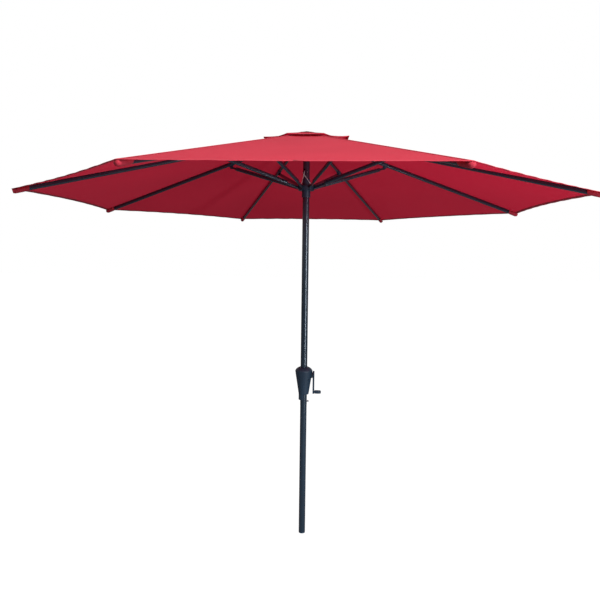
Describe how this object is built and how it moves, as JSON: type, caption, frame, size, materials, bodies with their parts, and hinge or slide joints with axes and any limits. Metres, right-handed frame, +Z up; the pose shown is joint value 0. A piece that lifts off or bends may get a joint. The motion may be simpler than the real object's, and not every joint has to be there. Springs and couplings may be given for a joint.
{
  "type": "patio umbrella",
  "caption": "Octagonal garden parasol with a vented canopy, crank-lift folding frame and a two-part pole whose foot slides into a separate base.",
  "frame": {"origin": "centre of the pole's bottom end, at the height where it stands in a base", "axes": "+Z up along the pole; +X toward the crank; -Y toward one side of the octagon"},
  "size_m": [2.7716, 2.7716, 2.346],
  "materials": {
    "frame_metal": "slate blue powder coat on aluminium tube",
    "canopy_cloth": "plain-woven red polyester cloth",
    "cord": "white braided cord",
    "bright_steel": "zinc-plated steel",
    "finial_plastic": "taupe moulded plastic",
    "crank_metal": "dark slate paint",
    "dark_plastic": "dark slate moulded plastic, fine grain"
  },
  "bodies": {
    "pole": {"lower_pole": "frame_metal", "foot_cap": "dark_plastic", "upper_pole": "frame_metal", "button_spring": "bright_steel", "crank_housing_left": "dark_plastic", "crank_housing_right": "dark_plastic", "lift_cord_inner": "cord", "top_hub": "dark_plastic", "hub_pins": "bright_steel", "crown_patch": "canopy_cloth", "finial": "finial_plastic", "fasteners": "bright_steel"},
    "button": {"snap_button": "bright_steel"},
    "crank": {"crank_spool": "bright_steel", "crank_arm": "crank_metal"},
    "grip": {"crank_grip": "dark_plastic"},
    "pulley": {"pulley": "dark_plastic"},
    "rib_1": {"rib_1": "frame_metal", "rib_fittings_1": "dark_plastic", "canopy_1": "canopy_cloth", "vent_flap_1": "canopy_cloth"},
    "strut_1": {"strut_1": "frame_metal"},
    "rib_2": {"rib_2": "frame_metal", "rib_fittings_2": "dark_plastic", "canopy_2": "canopy_cloth", "vent_flap_2": "canopy_cloth"},
    "strut_2": {"strut_2": "frame_metal"},
    "rib_3": {"rib_3": "frame_metal", "rib_fittings_3": "dark_plastic", "canopy_3": "canopy_cloth", "vent_flap_3": "canopy_cloth"},
    "strut_3": {"strut_3": "frame_metal"},
    "rib_4": {"rib_4": "frame_metal", "rib_fittings_4": "dark_plastic", "canopy_4": "canopy_cloth", "vent_flap_4": "canopy_cloth"},
    "strut_4": {"strut_4": "frame_metal"},
    "rib_5": {"rib_5": "frame_metal", "rib_fittings_5": "dark_plastic", "canopy_5": "canopy_cloth", "vent_flap_5": "canopy_cloth"},
    "strut_5": {"strut_5": "frame_metal"},
    "rib_6": {"rib_6": "frame_metal", "rib_fittings_6": "dark_plastic", "canopy_6": "canopy_cloth", "vent_flap_6": "canopy_cloth"},
    "strut_6": {"strut_6": "frame_metal"},
    "rib_7": {"rib_7": "frame_metal", "rib_fittings_7": "dark_plastic", "canopy_7": "canopy_cloth", "vent_flap_7": "canopy_cloth"},
    "strut_7": {"strut_7": "frame_metal"},
    "rib_8": {"rib_8": "frame_metal", "rib_fittings_8": "dark_plastic", "canopy_8": "canopy_cloth", "vent_flap_8": "canopy_cloth"},
    "strut_8": {"strut_8": "frame_metal"},
    "runner": {"runner": "dark_plastic", "runner_pins": "bright_steel", "lift_cord_outer": "cord"}
  },
  "joints": [
    {"name": "canopy_fold", "type": "hinge", "parent": "pole", "child": "rib_1", "pos_m": [-0.02956, -0.01225, 2.315], "axis": [0.3827, -0.9239, 0], "range_deg": [0, 67.5], "deforming": ["canopy_1", "vent_flap_1"]},
    {"name": "strut_1_fold", "type": "hinge", "parent": "rib_1", "child": "strut_1", "pos_m": [-0.45906, -0.19015, 2.17169], "axis": [0.3827, -0.9239, 0], "range_deg": [-135, 0]},
    {"name": "rib_2_fold", "type": "hinge", "parent": "pole", "child": "rib_2", "pos_m": [-0.01225, -0.02956, 2.315], "axis": [0.9239, -0.3827, 0], "range_deg": [0, 67.5], "deforming": ["canopy_2", "vent_flap_2"]},
    {"name": "strut_2_fold", "type": "hinge", "parent": "rib_2", "child": "strut_2", "pos_m": [-0.19015, -0.45906, 2.17169], "axis": [0.9239, -0.3827, 0], "range_deg": [-135, 0]},
    {"name": "rib_3_fold", "type": "hinge", "parent": "pole", "child": "rib_3", "pos_m": [0.01225, -0.02956, 2.315], "axis": [0.9239, 0.3827, 0], "range_deg": [0, 67.5], "deforming": ["canopy_3", "vent_flap_3"]},
    {"name": "strut_3_fold", "type": "hinge", "parent": "rib_3", "child": "strut_3", "pos_m": [0.19015, -0.45906, 2.17169], "axis": [0.9239, 0.3827, 0], "range_deg": [-135, 0]},
    {"name": "rib_4_fold", "type": "hinge", "parent": "pole", "child": "rib_4", "pos_m": [0.02956, -0.01225, 2.315], "axis": [0.3827, 0.9239, 0], "range_deg": [0, 67.5], "deforming": ["canopy_4", "vent_flap_4"]},
    {"name": "strut_4_fold", "type": "hinge", "parent": "rib_4", "child": "strut_4", "pos_m": [0.45906, -0.19015, 2.17169], "axis": [0.3827, 0.9239, 0], "range_deg": [-135, 0]},
    {"name": "rib_5_fold", "type": "hinge", "parent": "pole", "child": "rib_5", "pos_m": [0.02956, 0.01225, 2.315], "axis": [-0.3827, 0.9239, 0], "range_deg": [0, 67.5], "deforming": ["canopy_5", "vent_flap_5"]},
    {"name": "strut_5_fold", "type": "hinge", "parent": "rib_5", "child": "strut_5", "pos_m": [0.45906, 0.19015, 2.17169], "axis": [-0.3827, 0.9239, 0], "range_deg": [-135, 0]},
    {"name": "rib_6_fold", "type": "hinge", "parent": "pole", "child": "rib_6", "pos_m": [0.01225, 0.02956, 2.315], "axis": [-0.9239, 0.3827, 0], "range_deg": [0, 67.5], "deforming": ["canopy_6", "vent_flap_6"]},
    {"name": "strut_6_fold", "type": "hinge", "parent": "rib_6", "child": "strut_6", "pos_m": [0.19015, 0.45906, 2.17169], "axis": [-0.9239, 0.3827, 0], "range_deg": [-135, 0]},
    {"name": "rib_7_fold", "type": "hinge", "parent": "pole", "child": "rib_7", "pos_m": [-0.01225, 0.02956, 2.315], "axis": [-0.9239, -0.3827, 0], "range_deg": [0, 67.5], "deforming": ["canopy_7", "vent_flap_7"]},
    {"name": "strut_7_fold", "type": "hinge", "parent": "rib_7", "child": "strut_7", "pos_m": [-0.19015, 0.45906, 2.17169], "axis": [-0.9239, -0.3827, 0], "range_deg": [-135, 0]},
    {"name": "rib_8_fold", "type": "hinge", "parent": "pole", "child": "rib_8", "pos_m": [-0.02956, 0.01225, 2.315], "axis": [-0.3827, -0.9239, 0], "range_deg": [0, 67.5], "deforming": ["canopy_8", "vent_flap_8"]},
    {"name": "strut_8_fold", "type": "hinge", "parent": "rib_8", "child": "strut_8", "pos_m": [-0.45906, 0.19015, 2.17169], "axis": [-0.3827, -0.9239, 0], "range_deg": [-135, 0]},
    {"name": "runner_tilt", "type": "hinge", "parent": "strut_1", "child": "runner", "pos_m": [-0.02956, -0.01225, 2.02838], "axis": [0.3827, -0.9239, 0], "range_deg": [0, 67.5]},
    {"name": "crank_turn", "type": "hinge", "parent": "pole", "child": "crank", "pos_m": [0, 0, 0.952], "axis": [1, 0, 0], "range_deg": [0, 3600]},
    {"name": "pulley_turn", "type": "hinge", "parent": "pole", "child": "pulley", "pos_m": [-0.006, -0.01039, 2.11638], "axis": [0.866, -0.5, 0], "range_deg": [0, 3600]},
    {"name": "grip_spin", "type": "hinge", "parent": "crank", "child": "grip", "pos_m": [0.08, 0, 0.852], "axis": [1, 0, 0], "continuous": true},
    {"name": "button_press", "type": "slide", "parent": "pole", "child": "button", "axis": [-1, 0, 0], "range_m": [0, 0.0115], "stiffness_N_per_m": 900, "deforming": ["button_spring"]}
  ],
  "couplings": [
    {"joint": "strut_1_fold", "follows": "canopy_fold", "ratio": -2},
    {"joint": "rib_2_fold", "follows": "canopy_fold", "ratio": 1},
    {"joint": "strut_2_fold", "follows": "canopy_fold", "ratio": -2},
    {"joint": "rib_3_fold", "follows": "canopy_fold", "ratio": 1},
    {"joint": "strut_3_fold", "follows": "canopy_fold", "ratio": -2},
    {"joint": "rib_4_fold", "follows": "canopy_fold", "ratio": 1},
    {"joint": "strut_4_fold", "follows": "canopy_fold", "ratio": -2},
    {"joint": "rib_5_fold", "follows": "canopy_fold", "ratio": 1},
    {"joint": "strut_5_fold", "follows": "canopy_fold", "ratio": -2},
    {"joint": "rib_6_fold", "follows": "canopy_fold", "ratio": 1},
    {"joint": "strut_6_fold", "follows": "canopy_fold", "ratio": -2},
    {"joint": "rib_7_fold", "follows": "canopy_fold", "ratio": 1},
    {"joint": "strut_7_fold", "follows": "canopy_fold", "ratio": -2},
    {"joint": "rib_8_fold", "follows": "canopy_fold", "ratio": 1},
    {"joint": "strut_8_fold", "follows": "canopy_fold", "ratio": -2},
    {"joint": "runner_tilt", "follows": "canopy_fold", "ratio": 1},
    {"joint": "crank_turn", "follows": "canopy_fold", "ratio": 53.333},
    {"joint": "pulley_turn", "follows": "canopy_fold", "ratio": 53.333}
  ]
}
